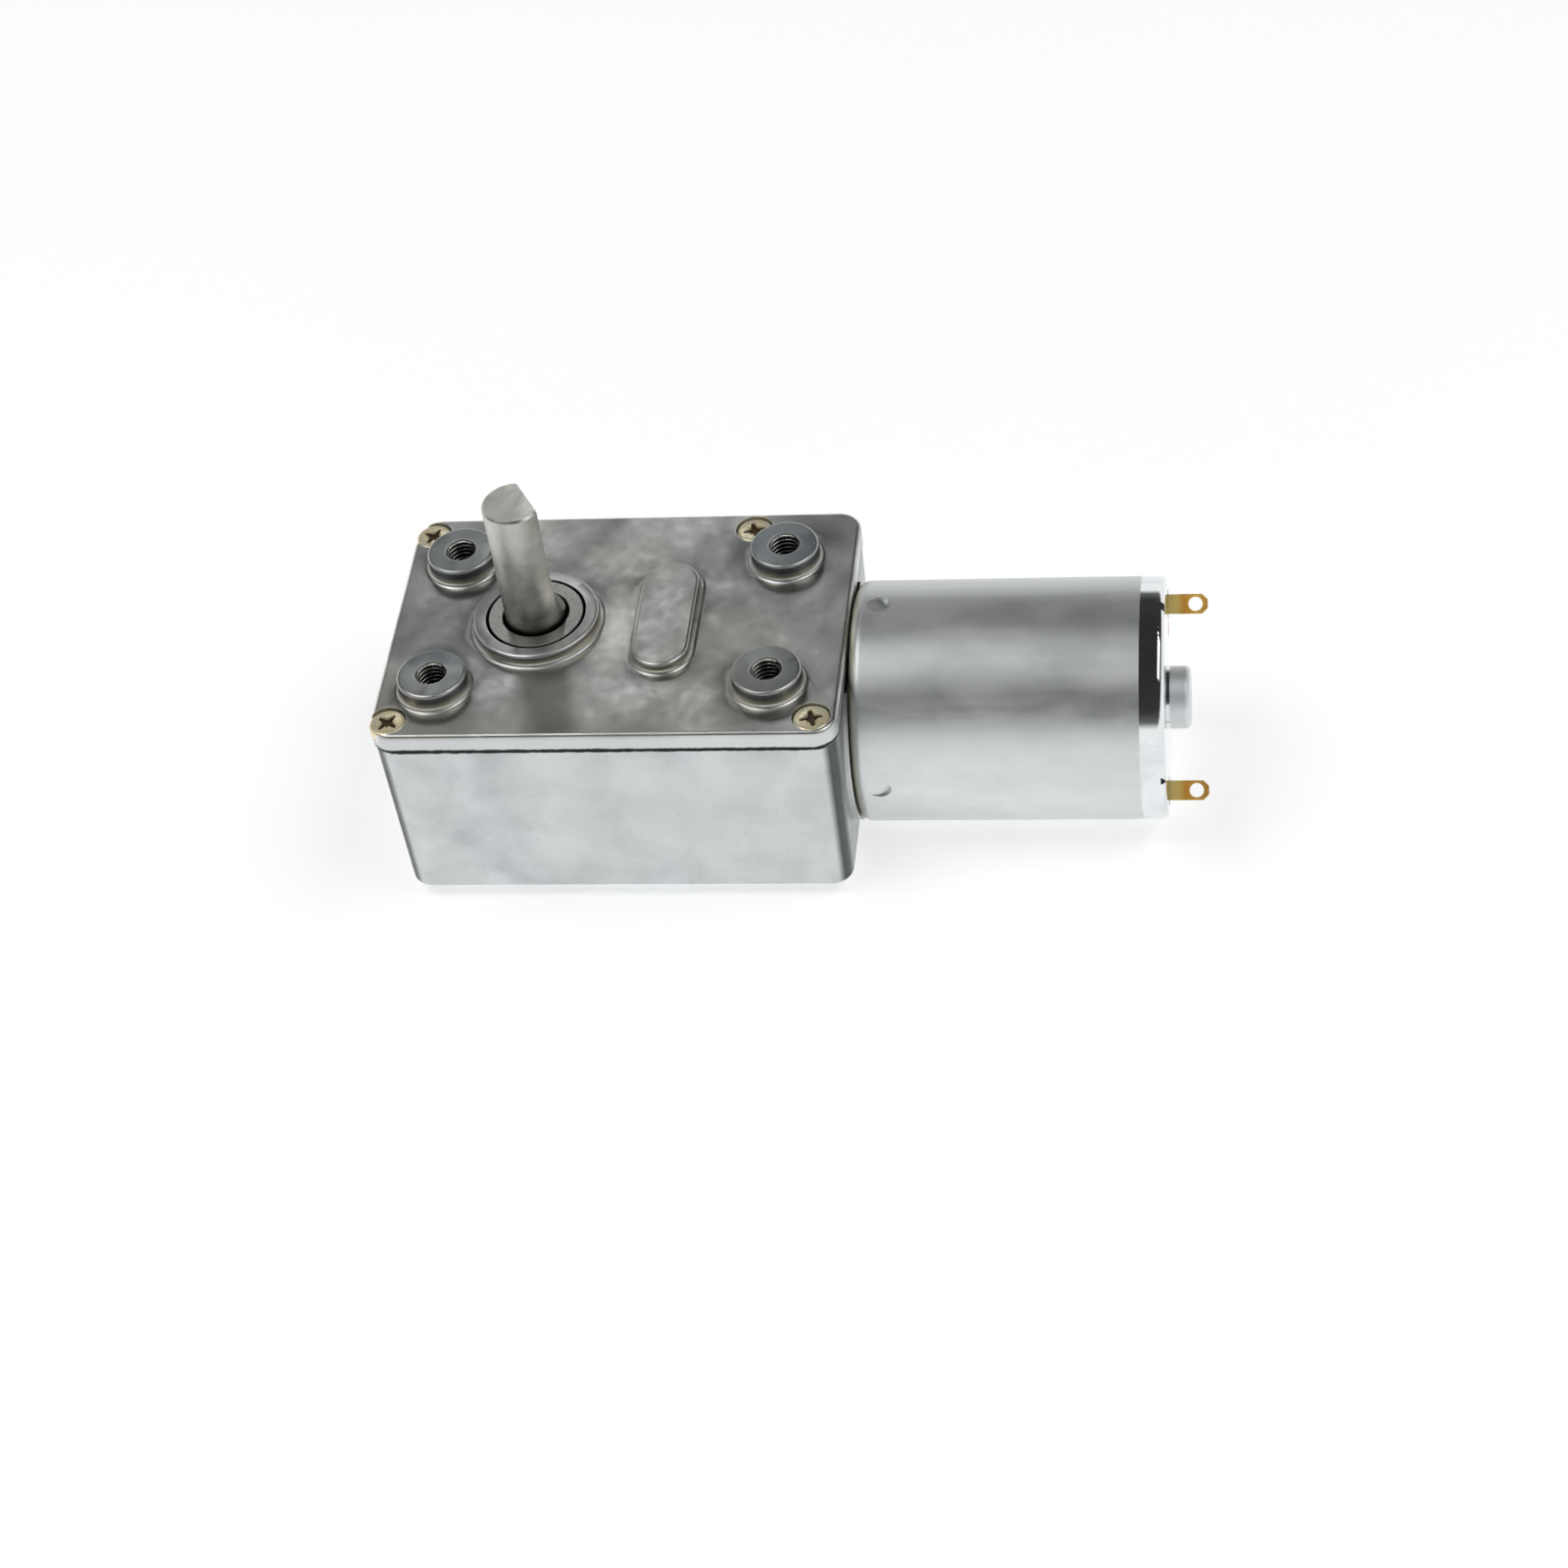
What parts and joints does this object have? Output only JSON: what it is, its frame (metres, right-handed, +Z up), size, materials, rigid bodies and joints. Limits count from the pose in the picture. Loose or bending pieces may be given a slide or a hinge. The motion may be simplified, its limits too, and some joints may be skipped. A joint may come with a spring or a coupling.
{
  "type": "worm gear motor",
  "caption": "Right-angle worm gear motor: flat die-cast gearbox with a D-cut output shaft and threaded bosses on its cover, and a round brushed motor at its end.",
  "frame": {"origin": "output shaft axis at the plane of the four mounting boss faces", "axes": "+Z up the output shaft, +X along the motor away from the gearbox, +Y across the gearbox"},
  "size_m": [0.0805, 0.0318, 0.0389],
  "materials": {
    "cast_zinc": "satin die-cast zinc",
    "nickel_screw": "warm nickel plate",
    "sintered_bush": "matt sintered",
    "ground_steel": "satin ground",
    "gear_steel": "machined",
    "wheel_nylon": "natural nylon",
    "worm_brass": "machined",
    "zinc_can": "satin zinc plate",
    "bright_cap": "bright plate",
    "magnet_ferrite": "matt ferrite",
    "core_steel": "lamination stack",
    "copper_wire": "enamelled copper",
    "holder_plastic": "moulded",
    "carbon_brush": "pressed carbon",
    "tab_brass": "stamped"
  },
  "bodies": {
    "gearbox": {"gearbox_housing": "cast_zinc", "gearbox_cover": "cast_zinc", "cover_screws": "nickel_screw", "upper_output_bush": "sintered_bush", "lower_output_bush": "sintered_bush", "thrust_washer": "gear_steel", "gear_pins": "ground_steel", "wheel_pin": "ground_steel", "pin_washers": "ground_steel", "motor_can": "zinc_can", "motor_end_cap": "bright_cap", "front_motor_bush": "sintered_bush", "rear_motor_bush": "sintered_bush", "magnets": "magnet_ferrite", "brush_holder": "holder_plastic", "brushes": "carbon_brush", "brush_arms": "tab_brass", "terminals": "tab_brass", "motor_screws": "ground_steel"},
    "output": {"output_shaft": "ground_steel", "output_gear": "gear_steel", "shaft_clip": "gear_steel"},
    "third": {"third_gear": "gear_steel", "third_pinion": "gear_steel"},
    "second": {"second_gear": "gear_steel", "second_pinion": "gear_steel"},
    "wheel": {"worm_wheel": "wheel_nylon", "wheel_pinion": "gear_steel"},
    "rotor": {"worm": "worm_brass", "motor_shaft": "ground_steel", "armature_core": "core_steel", "windings": "copper_wire", "commutator_core": "holder_plastic", "commutator": "copper_wire", "shaft_washers": "holder_plastic"}
  },
  "joints": [
    {"name": "output_spin", "type": "hinge", "parent": "gearbox", "child": "output", "pos_m": [0, 0, 0], "axis": [0, 0, 1], "continuous": true},
    {"name": "third_spin", "type": "hinge", "parent": "gearbox", "child": "third", "pos_m": [0.01299, 0.00465, 0], "axis": [0, 0, 1], "continuous": true},
    {"name": "second_spin", "type": "hinge", "parent": "gearbox", "child": "second", "pos_m": [0.01299, -0.00465, 0], "axis": [0, 0, 1], "continuous": true},
    {"name": "wheel_spin", "type": "hinge", "parent": "gearbox", "child": "wheel", "pos_m": [0.0211, -0.0072, 0], "axis": [0, 0, 1], "continuous": true},
    {"name": "rotor_spin", "type": "hinge", "parent": "gearbox", "child": "rotor", "pos_m": [0.04, 0, -0.01315], "axis": [1, 0, 0], "continuous": true}
  ],
  "couplings": [
    {"joint": "third_spin", "follows": "output_spin", "ratio": -3.6},
    {"joint": "second_spin", "follows": "output_spin", "ratio": 7.56},
    {"joint": "wheel_spin", "follows": "output_spin", "ratio": -18.144},
    {"joint": "rotor_spin", "follows": "output_spin", "ratio": -362.88}
  ]
}
